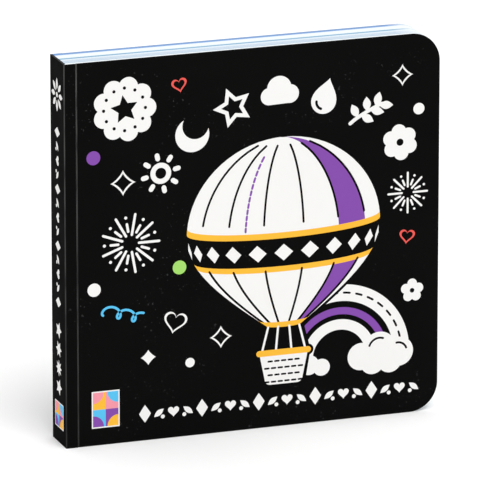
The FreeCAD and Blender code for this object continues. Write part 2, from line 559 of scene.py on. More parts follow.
def stroke(line: Outline, width: float, cap_steps: int = 8) -> Outline:
    """A pen stroke of even width with round ends.

    Args:
        line: The points that the pen follows.
        width: The stroke's width.
        cap_steps: The number of steps round each end.

    Returns:
        The outline of the stroke.
    """
    points = np.array(line, float)
    along = np.gradient(points, axis=0)
    along /= np.linalg.norm(along, axis=1)[:, None]
    across = np.stack([-along[:, 1], along[:, 0]], axis=1) * width / 2
    left, right = points + across, points - across
    return (
        [tuple(map(float, p)) for p in left] + round_cap(points[-1], left[-1], cap_steps)
        + [tuple(map(float, p)) for p in right[::-1]] + round_cap(points[0], right[0], cap_steps)
    )


def looped_line(pitch: float, loop: float, step: float, count: int) -> Outline:
    """A line that runs on in loops, like a curled ribbon.

    Args:
        pitch: How far it runs on for each radian.
        loop: The radius of a loop.
        step: The turn from each point to the next, in radians.
        count: The number of points.

    Returns:
        The points.
    """
    turns = [step * number for number in range(count)]
    return [(pitch * a - loop * math.sin(a), -loop * math.cos(a)) for a in turns]


def rectangle(left: float, low: float, width: float, height: float) -> Outline:
    """The four corners of an upright rectangle."""
    return [(left, low), (left + width, low), (left + width, low + height), (left, low + height)]


def straight(start: Point, end: Point) -> Outline:
    """A line of three points, for a straight stroke."""
    return [start, ((start[0] + end[0]) / 2, (start[1] + end[1]) / 2), end]


def star(centre: Point, radius: float, waist: float = 0.45, tips: int = 5) -> Outline:
    """A star with straight sides.

    Args:
        centre: Its middle.
        radius: The distance to each tip.
        waist: The inner radius as a share of the outer one.
        tips: The number of tips.

    Returns:
        The outline, one tip straight up.
    """
    points = []
    for number, angle in enumerate(round_the_clock(2 * tips)):
        reach = radius if number % 2 == 0 else radius * waist
        points.append((centre[0] + reach * math.sin(angle), centre[1] + reach * math.cos(angle)))
    return points


def sparkle(centre: Point, radius: float, power: float, height: float | None = None,
            steps: int = 48) -> Outline:
    """A four-pointed glint with hollow sides.

    Args:
        centre: Its middle.
        radius: Half its width.
        power: How hollow the sides are; 1 is a diamond.
        height: Half its height, if that differs.
        steps: The number of points.

    Returns:
        The outline.
    """
    tall = radius if height is None else height
    points = []
    for angle in round_the_clock(steps):
        cosine, sine = math.cos(angle), math.sin(angle)
        points.append((centre[0] + radius * math.copysign(abs(cosine) ** power, cosine),
                       centre[1] + tall * math.copysign(abs(sine) ** power, sine)))
    return points


def heart(centre: Point, radius: float, steps: int = 44) -> Outline:
    """A heart, by the common curve that adds four cosines and is 16 units wide on each side.

    Args:
        centre: Its middle.
        radius: Half its width.
        steps: The number of points.

    Returns:
        The outline, point down.
    """
    unit = radius / 16
    points = []
    for angle in round_the_clock(steps):
        rise = (13 * math.cos(angle) - 5 * math.cos(2 * angle) - 2 * math.cos(3 * angle)
                - math.cos(4 * angle))
        points.append((centre[0] + unit * 16 * math.sin(angle) ** 3, centre[1] + unit * rise))
    return points


def leaf(start: Point, length: float, width: float, angle: float, steps: int = 14) -> Outline:
    """A pointed leaf or petal that grows from a point.

    Args:
        start: The stalk end.
        length: Its length.
        width: Its greatest width.
        angle: Where it points, in degrees from the right.
        steps: The number of points on each side.

    Returns:
        The outline.
    """
    upper = [(length * k / steps, width / 2 * math.sin(math.pi * k / steps)) for k in range(steps + 1)]
    lower = [(x, -y) for x, y in upper[-2:0:-1]]
    return moved(turned(upper + lower, angle), start)


def drop(centre: Point, radius: float, height: float, steps: int = 36) -> Outline:
    """A rain drop, point up.

    Args:
        centre: The middle of its round end.
        radius: Half its width.
        height: From the middle to the tip.
        steps: The number of points.

    Returns:
        The outline.
    """
    points = []
    for angle in round_the_clock(steps):
        lift = max(0.0, math.cos(angle))
        points.append((centre[0] + radius * math.sin(angle) * (1 - lift ** 2),
                       centre[1] + (height * lift if lift else radius * math.cos(angle))))
    return points


def scalloped(centre: Point, radius: float, bumps: int, depth: float, roundness: float = 0.8,
              steps: int = 12) -> Outline:
    """A round badge with a bumpy edge.

    Args:
        centre: Its middle.
        radius: The distance to the top of each bump.
        bumps: The number of bumps.
        depth: How far the edge dips between them.
        roundness: How full the bumps are; 1 is a plain wave.
        steps: The number of points on each bump.

    Returns:
        The outline.
    """
    points = []
    for angle in round_the_clock(bumps * steps):
        reach = radius - depth * (1 - abs(math.cos(angle * bumps / 2)) ** roundness)
        points.append((centre[0] + reach * math.cos(angle), centre[1] + reach * math.sin(angle)))
    return points


@dataclass
class Artwork:
    """Printed shapes in the order that they are laid down, the later over the earlier."""

    marks: list[tuple[Ink, Outline]] = field(default_factory=list)

    def lay(self, ink: Ink, *outlines: Outline) -> None:
        """Print outlines in one ink."""
        self.marks.extend((ink, outline) for outline in outlines)

    def hollow(self, ink: Ink, make: Callable[..., Outline], centre: Point, radius: float,
               line: float, **more: float) -> None:
        """Print a shape as a line only, by laying its middle in the black of the ground.

        Args:
            ink: The line's ink.
            make: The function that draws the shape.
            centre: Its middle.
            radius: Its radius.
            line: The line's width.
            **more: Other values for the drawing function.
        """
        self.lay(ink, make(centre, radius, **more))
        self.lay(Ink.BLACK, make(centre, radius - line, **more))

    def outlined_heart(self, ink: Ink, centre: Point, radius: float, line: float, lean: float) -> None:
        """Print a heart as a line only, leaning to one side.

        Args:
            ink: The line's ink.
            centre: The heart's middle.
            radius: Half its width.
            line: The line's width.
            lean: The turn in degrees.
        """
        self.lay(ink, turned(heart(centre, radius), lean, centre))
        self.lay(Ink.BLACK, turned(heart(centre, radius - line), lean, centre))

    def resized(self, scale: float) -> "Artwork":
        """The same artwork at another size, about the origin."""
        return Artwork([(ink, [(x * scale, y * scale) for x, y in outline])
                        for ink, outline in self.marks])

    def add(self, other: "Artwork", angle: float, place: Point) -> None:
        """Print another artwork, turned by an angle in degrees and moved from the origin to a place."""
        self.marks.extend((ink, moved(turned(outline, angle), place)) for ink, outline in other.marks)


@dataclass(frozen=True)
class Firework:
    """Long and short rays, with a spark past each short one.

    Places along a ray are shares of the radius, and the spark's size is a share of the line.
    """

    radius: float
    rays: int
    line: float
    long_ray: Span = (0.3, 1.0)
    short_ray: Span = (0.42, 0.68)
    spark_at: float = 0.9
    spark_size: float = 0.62

    def lay(self, art: Artwork, centre: Point) -> None:
        """Print the firework.

        Args:
            art: The artwork that it is printed in.
            centre: Its middle.
        """
        for number, angle in enumerate(round_the_clock(2 * self.rays)):
            towards = (math.cos(angle) * self.radius, math.sin(angle) * self.radius)
            ends = self.short_ray if number % 2 else self.long_ray
            start, end, spark = (
                (centre[0] + towards[0] * share, centre[1] + towards[1] * share)
                for share in (*ends, self.spark_at)
            )
            art.lay(Ink.WHITE, stroke(straight(start, end), self.line, cap_steps=5))
            if number % 2:
                art.lay(Ink.WHITE, disc(spark, self.line * self.spark_size, steps=12))


@dataclass(frozen=True)
class Daisy:
    """Pointed petals round a dot, with the petals' places and the dot as shares of the radius."""

    radius: float
    petals: int
    petal_width: float
    petal_root: float = 0.3
    petal_length: float = 0.7
    dot: float = 0.16

    def lay(self, art: Artwork, centre: Point) -> None:
        """Print the daisy.

        Args:
            art: The artwork that it is printed in.
            centre: Its middle.
        """
        for angle in range(0, 360, 360 // self.petals):
            root = turned([(centre[0] + self.radius * self.petal_root, centre[1])], angle, centre)[0]
            art.lay(Ink.WHITE, leaf(root, self.radius * self.petal_length, self.petal_width, angle))
        art.lay(Ink.WHITE, disc(centre, self.radius * self.dot, steps=16))


@dataclass(frozen=True)
class Flower:
    """Round petals and a round middle with an eye, each with its radius as a share of the flower's."""

    radius: float
    petals: int
    petal: float = 0.42
    middle: float = 0.4
    eye: float = 0.2

    def lay(self, art: Artwork, centre: Point) -> None:
        """Print the flower.

        Args:
            art: The artwork that it is printed in.
            centre: Its middle.
        """
        petal = self.radius * self.petal
        reach = self.radius - petal
        for angle in round_the_clock(self.petals):
            place = (centre[0] + reach * math.sin(angle), centre[1] + reach * math.cos(angle))
            art.lay(Ink.WHITE, disc(place, petal, steps=24))
        art.lay(Ink.WHITE, disc(centre, self.radius * self.middle, steps=20))
        art.lay(Ink.BLACK, disc(centre, self.radius * self.eye, steps=16))


PICTURE_MIDDLE = 93.0


@dataclass(frozen=True)
class Rainbow:
    """The bows behind the balloon, and the clouds at their feet.

    Sizes and places are millimetres from the spine edge and from the tail, and angles are degrees.
    A bow is a radius, a width and an ink. A puff of cloud is a middle and a radius, and a curl on
    it is a middle, a radius and the angles of its ends.
    """

    centre: Point = (117.0, 27.0)
    bows: tuple[tuple[float, float, Ink], ...] = (
        (27.0, 7.0, Ink.WHITE), (19.4, 3.0, Ink.PURPLE), (13.6, 4.4, Ink.WHITE),
    )
    bow_ends: Span = (8.0, 172.0)
    dash_from: float = 12.0
    dash_pitch: float = 11.4
    dash_length: float = 5.4
    dash_count: int = 13
    line: float = 0.9
    puffs: tuple[tuple[Point, float], ...] = (
        ((126.5, 26.0), 5.8), ((134.5, 28.6), 7.2), ((143.0, 26.6), 6.2), ((131.5, 23.2), 5.2),
        ((139.0, 23.2), 5.2), ((104.0, 24.6), 4.2), ((109.4, 23.2), 3.6),
    )
    curls: tuple[tuple[Point, float, Span], ...] = (
        ((134.5, 28.6), 4.6, (70.0, 160.0)), ((142.6, 26.6), 3.8, (20.0, 100.0)),
    )

    def lay(self, art: Artwork) -> None:
        """Print the bows, the dashes on the outer one, and the clouds.

        Args:
            art: The artwork that they are printed in.
        """
        for radius, width, ink in self.bows:
            art.lay(ink, stroke(arc_points(self.centre, radius, *self.bow_ends, steps=48), width))
        outer = self.bows[0][0]
        for number in range(self.dash_count):
            start = self.dash_from + number * self.dash_pitch
            dash = arc_points(self.centre, outer, start, start + self.dash_length, steps=4)
            art.lay(Ink.BLACK, stroke(dash, self.line, cap_steps=4))
        for place, radius in self.puffs:
            art.lay(Ink.WHITE, disc(place, radius))
        for place, radius, ends in self.curls:
            art.lay(Ink.BLACK, stroke(arc_points(place, radius, *ends, steps=12), self.line))


@dataclass(frozen=True)
class Basket:
    """The balloon's basket, in millimetres from the spine edge and from the tail."""

    middle: float = PICTURE_MIDDLE
    top: float = 31.5
    bottom: float = 18.0
    half_width: float = 10.5
    taper: float = 0.78
    corner: float = 2.4
    rim_height: float = 2.6
    weave_from: float = 3.6
    weave_pitch: float = 2.9
    weave_rows: int = 4
    weave_reach: int = 3
    stitch_reach: float = 0.8
    stitch_line: float = 0.8
    stitch_room: float = 0.6

    @property
    def foot(self) -> float:
        """Half the basket's width at its bottom."""
        return self.half_width * self.taper

    @property
    def rim(self) -> Outline:
        """The line along the middle of the rim."""
        return straight((self.middle - self.half_width, self.top),
                        (self.middle + self.half_width, self.top))

    def lay(self, art: Artwork) -> None:
        """Print the basket, its weave and its rim.

        Args:
            art: The artwork that they are printed in.
        """
        base = self.bottom + self.corner
        art.lay(Ink.WHITE, [
            (self.middle - self.half_width, self.top),
            *arc_points((self.middle - self.foot + self.corner, base), self.corner, 180, 270, steps=8),
            *arc_points((self.middle + self.foot - self.corner, base), self.corner, 270, 360, steps=8),
            (self.middle + self.half_width, self.top),
        ])
        for row in range(self.weave_rows):
            height = self.top - self.weave_from - row * self.weave_pitch
            for column in range(-self.weave_reach, self.weave_reach + 1):
                middle = self.middle + (column + 0.5 * (row % 2)) * self.weave_pitch
                if abs(middle - self.middle) < self.foot - self.stitch_room:
                    stitch = straight((middle - self.stitch_reach, height),
                                      (middle + self.stitch_reach, height))
                    art.lay(Ink.BLACK, stroke(stitch, self.stitch_line, cap_steps=4))
        art.lay(Ink.YELLOW, stroke(self.rim, self.rim_height))


@dataclass(frozen=True)
class BalloonPicture:
    """The big picture of the cover: a hot-air balloon before a rainbow and a cloud.

    Sizes and places are millimetres from the spine edge and from the tail. Turns are degrees round
    the balloon, 0 at its middle. A seam is drawn in two runs of its points, above and below the belt,
    and a rope's number is its place across the mouth and the rim, from -1 to 1.
    """

    rainbow: Rainbow = Rainbow()
    basket: Basket = Basket()
    middle: float = PICTURE_MIDDLE
    crown: float = 122.0
    crown_room: float = 0.02
    equator: float = 83.0
    mouth: float = 43.0
    mouth_trim: float = 2.6
    half_width: float = 41.5
    mouth_half_width: float = 7.5
    ring_sag: float = 5.0
    margin: float = 1.1
    margin_steps: int = 30
    turn_steps: int = 24
    rise_steps: int = 36
    purple_panel: Span = (35.0, 58.0)
    belt: Span = (72.5, 84.5)
    belt_trim: float = 2.5
    diamonds: range = range(-80, 81, 16)
    diamond_turn: float = 5.6
    diamond_height: float = 3.6
    seams: tuple[float, ...] = (-58.0, -35.0, -12.0, 12.0, 35.0, 58.0)
    seam_line: float = 0.9
    seam_steps: int = 40
    seam_runs: tuple[tuple[int, int], ...] = ((1, 17), (26, 41))
    stitch_turn: float = -23.5
    stitch_from: float = 116.5
    stitch_pitch: float = 2.45
    stitch_length: float = 1.5
    stitch_steps: int = 3
    stitch_count: int = 12
    ropes: tuple[float, ...] = (-1.0, -0.36, 0.36, 1.0)
    rope_line: float = 0.9
    rope_drop: float = 0.6
    rope_mouth_inset: float = 0.8
    rope_rim_inset: float = 1.0

    def reach(self, height: float) -> float:
        """Half the balloon's width at a height.

        Args:
            height: The height.

        Returns:
            The half width: an ellipse above the equator, and a cosine down to the mouth.
        """
        if height >= self.equator:
            share = (height - self.equator) / (self.crown - self.equator)
            return self.half_width * math.sqrt(max(0.0, 1 - share * share))
        share = (self.equator - height) / (self.equator - self.mouth)
        taper = self.half_width - self.mouth_half_width
        return self.mouth_half_width + taper * math.cos(share * math.pi / 2)

    def at(self, turn: float, height: float) -> Point:
        """A point on the balloon's round skin.

        Args:
            turn: The angle round the balloon.
            height: The height of the point's level ring at the balloon's edge.

        Returns:
            Where the point is printed.
        """
        angle = math.radians(turn)
        reach = self.reach(height)
        sag = self.ring_sag * reach / self.half_width
        return self.middle + reach * math.sin(angle), height - sag * math.cos(angle)

    def band(self, low: float, high: float, start: float = -90.0, end: float = 90.0) -> Outline:
        """A patch of skin between two heights and two turns.

        Args:
            low: The lower height.
            high: The upper height.
            start: The left turn.
            end: The right turn.

        Returns:
            The outline.
        """
        turns = [start + (end - start) * step / self.turn_steps for step in range(self.turn_steps + 1)]
        heights = [low + (high - low) * (1 - math.cos(math.pi * step / self.rise_steps)) / 2
                   for step in range(1, self.rise_steps)]
        return (
            [self.at(turn, low) for turn in turns] + [self.at(end, height) for height in heights]
            + [self.at(turn, high) for turn in reversed(turns)]
            + [self.at(start, height) for height in reversed(heights)]
        )

    def diamond(self, turn: float, height: float) -> Outline:
        """A diamond on the skin, round a point of it."""
        return [self.at(turn - self.diamond_turn, height), self.at(turn, height - self.diamond_height),
                self.at(turn + self.diamond_turn, height), self.at(turn, height + self.diamond_height)]

    def lay_margin(self, art: Artwork) -> None:
        """Print a dark margin round the balloon, its ropes and its basket, to set them off the bows.

        Args:
            art: The artwork that it is printed in.
        """
        basket = self.basket
        rim = basket.rim
        rise = self.equator - self.mouth
        edge = [self.at(90, self.mouth + rise * step / self.margin_steps)
                for step in range(self.margin_steps + 1)]
        side = straight(rim[-1], (basket.middle + basket.foot, basket.bottom))
        art.lay(Ink.BLACK, stroke(edge, 2 * self.margin), stroke(rim, basket.rim_height + 2 * self.margin),
                stroke(side, 2 * self.margin))
        art.lay(Ink.BLACK, [
            (self.middle - self.mouth_half_width, self.mouth),
            (rim[0][0], basket.top),
            (rim[-1][0] + self.margin, basket.top),
            (self.middle + self.mouth_half_width + self.margin, self.mouth),
        ])

    def lay_skin(self, art: Artwork) -> None:
        """Print the balloon's skin, its belt and its seams.

        Args:
            art: The artwork that they are printed in.
        """
        low, high = self.mouth, self.crown - self.crown_room
        belt_low, belt_high = self.belt
        art.lay(Ink.WHITE, self.band(low, high))
        art.lay(Ink.PURPLE, self.band(low, high, *self.purple_panel))
        art.lay(Ink.BLACK, self.band(belt_low, belt_high))
        art.lay(Ink.YELLOW, self.band(belt_high, belt_high + self.belt_trim),
                self.band(belt_low - self.belt_trim, belt_low))
        for turn in self.diamonds:
            art.lay(Ink.WHITE, self.diamond(turn, (belt_low + belt_high) / 2))
        for turn in self.seams:
            line = [self.at(turn, high - (high - low) * step / self.seam_steps)
                    for step in range(self.seam_steps + 1)]
            for first, end in self.seam_runs:
                art.lay(Ink.BLACK, stroke(line[first:end], self.seam_line, cap_steps=4))
        for number in range(self.stitch_count):
            top = self.stitch_from - number * self.stitch_pitch
            stitch = [self.at(self.stitch_turn, top - self.stitch_length * step / self.stitch_steps)
                      for step in range(self.stitch_steps + 1)]
            art.lay(Ink.PURPLE, stroke(stitch, self.seam_line, cap_steps=4))
        art.lay(Ink.YELLOW, self.band(self.mouth, self.mouth + self.mouth_trim))

    def lay_ropes(self, art: Artwork) -> None:
        """Print the ropes from the mouth to the basket's rim.

        Args:
            art: The artwork that they are printed in.
        """
        for share in self.ropes:
            top = (self.middle + share * (self.mouth_half_width - self.rope_mouth_inset),
                   self.mouth - self.rope_drop)
            bottom = (self.middle + share * (self.basket.half_width - self.rope_rim_inset),
                      self.basket.top)
            art.lay(Ink.WHITE, stroke(straight(top, bottom), self.rope_line, cap_steps=4))

    def lay(self, art: Artwork) -> None:
        """Print the whole picture, from the back to the front.

        Args:
            art: The artwork that it is printed in.
        """
        self.rainbow.lay(art)
        self.lay_margin(art)
        self.lay_skin(art)
        self.lay_ropes(art)
        self.basket.lay(art)


def draw_sun(art: Artwork) -> None:
    """Draw a ring with eight short rays round the origin.

    Args:
        art: The artwork that they are drawn in.
    """
    rays, inner, outer = 8, 6.2, 7.6
    art.hollow(Ink.WHITE, disc, (0, 0), radius=4.4, line=2.1)
    for angle in range(0, 360, 360 // rays):
        ray = turned(straight((inner, 0), (outer, 0)), angle)
        art.lay(Ink.WHITE, stroke(ray, width=2.0, cap_steps=6))


def draw_moon(art: Artwork) -> None:
    """Draw a crescent round the origin: a white disc with a smaller black one over it."""
    art.lay(Ink.WHITE, disc((0, 0), radius=7.2, steps=56))
    art.lay(Ink.BLACK, disc((3.4, 2.0), radius=5.6, steps=48))


def draw_star(art: Artwork) -> None:
    """Draw a hollow star round the origin."""
    art.hollow(Ink.WHITE, star, (0, 0), radius=8.6, line=3.5, waist=0.5)


def draw_cloud(art: Artwork) -> None:
    """Draw a cloud round the origin: three puffs on a bar with round ends.

    Args:
        art: The artwork that it is drawn in.
    """
    for middle, radius in (((-4.2, -0.6), 3.6), ((0.2, 2.3), 5.2), ((4.6, -0.4), 3.9)):
        art.lay(Ink.WHITE, disc(middle, radius))
    art.lay(Ink.WHITE, stroke(straight((-4.2, -2.4), (4.6, -2.4)), width=3.6))


def draw_rain(art: Artwork) -> None:
    """Draw a rain drop round the origin, with a glint low on its left."""
    art.lay(Ink.WHITE, drop((0, -2.2), radius=5.4, height=9.8))
    art.lay(Ink.BLACK, stroke(arc_points((0, -2.6), radius=3.0, start=190, end=265, steps=10), width=1.1))


def draw_sprig(art: Artwork) -> None:
    """Draw a leaning stalk round the origin, with three leaves on each side.

    Args:
        art: The artwork that it is drawn in.
    """
    steps, lean, rise, bend = 10, 7.0, 13.6, 0.8
    stalk = [(-3.6 + lean * k / steps, -7.4 + rise * (k / steps) ** bend) for k in range(steps + 1)]
    art.lay(Ink.WHITE, stroke(stalk, width=1.5))
    for number, angle in ((2, 150), (3, 5), (5, 128), (6, 20), (8, 110), (9, 30)):
        art.lay(Ink.WHITE, leaf(stalk[number], length=6.2, width=3.4, angle=angle))


def draw_bloom(art: Artwork) -> None:
    """Draw a flower of six petals round the origin."""
    Flower(radius=7.6, petals=6).lay(art, (0, 0))


class Symbol(Enum):
    """The bold symbols over the picture, in order from the spine."""

    SUN = "sun"
    MOON = "moon"
    STAR = "star"
    CLOUD = "cloud"
    RAIN = "rain"
    SPRIG = "sprig"
    BLOOM = "bloom"


DRAWINGS: dict[Symbol, Callable[[Artwork], None]] = {
    Symbol.SUN: draw_sun,
    Symbol.MOON: draw_moon,
    Symbol.STAR: draw_star,
    Symbol.CLOUD: draw_cloud,
    Symbol.RAIN: draw_rain,
    Symbol.SPRIG: draw_sprig,
    Symbol.BLOOM: draw_bloom,
}


@dataclass(frozen=True)
class SymbolArch:
    """Bold sky and garden symbols, arched over the balloon from a first to a last angle in degrees."""

    centre: Point = (PICTURE_MIDDLE, 77.5)
    radius: float = 62.5
    first: float = 147.0
    last: float = 37.0

    def lay(self, art: Artwork) -> None:
        """Print the symbols, each standing square to the arch.

        Args:
            art: The artwork that they are printed in.
        """
        step = (self.last - self.first) / (len(Symbol) - 1)
        for number, symbol in enumerate(Symbol):
            angle = self.first + number * step
            place = turned([(self.centre[0] + self.radius, self.centre[1])], angle, self.centre)[0]
            mark = Artwork()
            DRAWINGS[symbol](mark)
            art.add(mark, angle - 90, place)


@dataclass(frozen=True)
class Badge:
    """A white scalloped badge with a star and a ring of dots."""

    centre: Point = (25.4, 139.4)
    radius: float = 13.4
    bumps: int = 9
    dip: float = 2.1
    star_radius: float = 6.0
    star_waist: float = 0.48
    star_lean: float = 8.0
    dots: int = 12
    dots_at: float = 8.8
    dot_radius: float = 0.7

    def lay(self, art: Artwork) -> None:
        """Print the badge.

        Args:
            art: The artwork that it is printed in.
        """
        centre = self.centre
        art.lay(Ink.WHITE, scalloped(centre, self.radius, self.bumps, self.dip))
        art.lay(Ink.BLACK, turned(star(centre, self.star_radius, self.star_waist), self.star_lean, centre))
        for angle in range(0, 360, 360 // self.dots):
            dot = turned([(centre[0] + self.dots_at, centre[1])], angle, centre)[0]
            art.lay(Ink.BLACK, disc(dot, self.dot_radius, steps=14))


@dataclass(frozen=True)
class Patchwork:
    """A tile of four patches in a white frame, each with a quarter disc of another colour.

    A patch is its column, its row, its ink, the quarter disc's ink and the angle where that starts.
    """

    corner: Point
    size: Point
    frame: float
    fill: float = 0.86
    patches: tuple[tuple[int, int, Ink, Ink, int], ...] = (
        (0, 0, Ink.SKY, Ink.PURPLE, 0), (1, 0, Ink.PURPLE, Ink.YELLOW, 90),
        (1, 1, Ink.PINK, Ink.SKY, 180), (0, 1, Ink.YELLOW, Ink.PINK, 270),
    )

    def lay(self, art: Artwork) -> None:
        """Print the tile.

        Args:
            art: The artwork that it is printed in.
        """
        left, low = self.corner
        width, height = self.size
        art.lay(Ink.WHITE, rectangle(left, low, width, height))
        across, up = (width - 2 * self.frame) / 2, (height - 2 * self.frame) / 2
        reach = min(across, up) * self.fill
        for column, row, ground, shape, start in self.patches:
            x, y = left + self.frame + column * across, low + self.frame + row * up
            art.lay(ground, rectangle(x, y, across, up))
            point = (x + column * across, y + row * up)
            art.lay(shape, [point, *arc_points(point, reach, start, start + 90, steps=20)])


def small_mark(number: int) -> Artwork:
    """One small mark of a border: diamond, leaf, heart and leaf in turn.

    Args:
        number: Its place in the row.

    Returns:
        Its marks, round the origin.
    """
    art = Artwork()
    if number % 4 == 0:
        art.lay(Ink.WHITE, sparkle((0, 0), radius=2.5, power=1.9, height=3.7))
    elif number % 4 == 2:
        art.lay(Ink.WHITE, heart((0, 0), radius=2.4, steps=28))
    else:
        lean = 1 if number % 4 == 1 else -1
        art.lay(Ink.WHITE, leaf((-2.2 * lean, -1.8), length=5.2, width=2.3, angle=90 - 52 * lean))
        art.lay(Ink.WHITE, disc((1.5 * lean, -1.9), radius=0.85, steps=14))
    return art


@dataclass(frozen=True)
class FrontArtwork:
    """The print of the front cover, in millimetres from the spine edge and from the tail.

    A glint is a place, half a width and a line. A dot is an ink, a place, a radius and its points.
    A heart is an ink, a place, half a width and a lean in degrees.
    """

    border_line: float = 11.3
    border_start: float = 33.5
    border_pitch: float = 6.1
    border_count: int = 20
    tile: Patchwork = Patchwork((10.9, 7.3), (11.8, 15.5), frame=0.5)
    fireworks: tuple[tuple[Firework, Point], ...] = (
        (Firework(radius=12.2, rays=9, line=1.05), (27.6, 83.5)),
        (Firework(radius=8.4, rays=8, line=0.85), (146.4, 93.6)),
    )
    glint_power: float = 2.6
    glints: tuple[tuple[Point, float, float], ...] = (
        ((24.6, 109.0), 5.4, 1.35), ((143.8, 143.2), 4.6, 1.2), ((66.0, 40.5), 4.8, 1.25),
    )
    full_glint_at: Point = (35.0, 35.0)
    dots: tuple[tuple[Ink, Point, float, int], ...] = (
        (Ink.WHITE, (12.2, 65.5), 2.8, 40), (Ink.WHITE, (151.0, 128.5), 2.4, 30),
        (Ink.WHITE, (52.8, 31.0), 2.0, 26), (Ink.GREEN, (48.4, 71.5), 2.9, 40),
        (Ink.PURPLE, (12.2, 120.4), 2.9, 40),
    )
    heart_line: float = 0.95
    hearts: tuple[tuple[Ink, Point, float, float], ...] = (
        (Ink.CORAL, (48.5, 147.6), 3.3, 10.0), (Ink.CORAL, (146.2, 75.4), 3.4, -8.0),
        (Ink.WHITE, (46.5, 49.0), 5.0, -14.0),
    )
    flower: Flower = Flower(radius=5.0, petals=5)
    flower_at: Point = (148.6, 52.0)
    curl_at: Point = (16.5, 56.5)
    curl_lean: float = -16.0

    def lay_border(self, art: Artwork) -> None:
        """Print the small border along the tail.

        Args:
            art: The artwork that it is printed in.
        """
        for number in range(self.border_count):
            middle = (self.border_start + number * self.border_pitch, self.border_line)
            art.add(small_mark(number), 0, middle)

    def lay_ornaments(self, art: Artwork) -> None:
        """Print the fireworks, glints, dots, hearts, flower and curl that are strewn over the ground.

        Args:
            art: The artwork that they are printed in.
        """
        for firework, place in self.fireworks:
            firework.lay(art, place)
        for place, radius, line in self.glints:
            art.hollow(Ink.WHITE, sparkle, place, radius, line, power=self.glint_power)
        art.lay(Ink.WHITE, sparkle(self.full_glint_at, radius=3.2, power=2.4))
        for ink, place, radius, steps in self.dots:
            art.lay(ink, disc(place, radius, steps))
        for ink, place, radius, lean in self.hearts:
            art.outlined_heart(ink, place, radius, self.heart_line, lean)
        self.flower.lay(art, self.flower_at)
        curl = stroke(looped_line(pitch=1.05, loop=2.1, step=0.35, count=46), width=1.0)
        art.lay(Ink.SKY, moved(turned(curl, self.curl_lean), self.curl_at))

    def artwork(self) -> Artwork:
        """Lay the whole front print.

        Returns:
            The marks in printing order.
        """
        art = Artwork()
        self.lay_ornaments(art)
        BalloonPicture().lay(art)
        SymbolArch().lay(art)
        self.lay_border(art)
        self.tile.lay(art)
        Badge().lay(art)
        return art


@dataclass(frozen=True)
class SpineArtwork:
    """The print of the spine: millimetres from its middle towards the front cover, and from the tail."""

    daisy: Daisy = Daisy(radius=7.0, petals=8, petal_width=2.3)
    daisy_at: float = 145.5
    small_from: float = 130.0
    small_pitch: float = 5.9
    small_count: int = 13
    small_scale: float = 0.86
    star_tips: tuple[int, ...] = (5, 6, 8, 5)
    star_radius: float = 3.6
    star_waist: float = 0.5
    star_from: float = 47.5
    star_pitch: float = 8.0
    tile: Patchwork = Patchwork((-5.4, 6.3), (10.8, 10.8), frame=0.4)

    def artwork(self) -> Artwork:
        """Lay the whole spine print.

        Returns:
            The marks in printing order.
        """
        art = Artwork()
        self.daisy.lay(art, (0.0, self.daisy_at))
        for number in range(self.small_count):
            mark = small_mark(number).resized(self.small_scale)
            art.add(mark, -90, (0.0, self.small_from - number * self.small_pitch))
        for number, tips in enumerate(self.star_tips):
            place = (0.0, self.star_from - number * self.star_pitch)
            art.lay(Ink.WHITE, turned(star(place, self.star_radius, self.star_waist, tips), -90, place))
        self.tile.lay(art)
        return art


# Building meshes


@dataclass
class PrintedFace:
    """A flat printed face, cut into triangles along the edge of every mark."""

    border: Outline
    art: Artwork
    black: PrintFinish = INKS[Ink.BLACK]
    precision: float = 1e-3

    def finish(self, ink: Ink) -> PrintFinish:
        """The finish of an ink on this face."""
        return self.black if ink is Ink.BLACK else INKS[ink]

    def cut(self) -> tuple[Outline, list[tuple[int, ...]], list[Ink], list[int]]:
        """Cut the face.

        Returns:
            The points, the triangles, the ink of each triangle, and for each point of the border
            its number among the points.
        """
        points = [Vector(place) for place in self.border]
        edges = self.loop_edges(0, len(self.border))
        for _, outline in self.art.marks:
            edges += self.loop_edges(len(points), len(outline))
            points += [Vector(place) for place in outline]
        found, _, faces, sources, _, _ = delaunay_2d_cdt(points, edges, [], 0, self.precision)
        border_numbers = {}
        for number, origins in enumerate(sources):
            for origin in origins:
                if origin < len(self.border):
                    border_numbers[origin] = number
        corners = np.array([[found[i] for i in face] for face in faces], float)
        inks = self.ink_of(corners.mean(axis=1))
        return ([tuple(place) for place in found], [tuple(face) for face in faces], inks,
                [border_numbers[number] for number in range(len(self.border))])

    @staticmethod
    def loop_edges(start: int, count: int) -> list[tuple[int, int]]:
        """The edges that join a run of points into a loop."""
        return [(start + step, start + (step + 1) % count) for step in range(count)]

    def ink_of(self, places: np.ndarray) -> list[Ink]:
        """The ink that lies uppermost at each place.

        Args:
            places: One row of two numbers for each place.

        Returns:
            One ink for each place.
        """
        inks = [Ink.BLACK] * len(places)
        for ink, outline in self.art.marks:
            for number in np.flatnonzero(inside(np.array(outline, float), places)):
                inks[number] = ink
        return inks


def inside(outline: np.ndarray, places: np.ndarray) -> np.ndarray:
    """Whether each place lies within a closed outline.

    Args:
        outline: The outline's points.
        places: The places.

    Returns:
        True or False for each place.
    """
    x, y = places[:, 0], places[:, 1]
    result = np.zeros(len(places), bool)
    for (ax, ay), (bx, by) in zip(outline, np.roll(outline, -1, axis=0)):
        if ay == by:
            continue
        crosses = (ay > y) != (by > y)
        result ^= crosses & (x < (bx - ax) * (y - ay) / (by - ay) + ax)
    return result


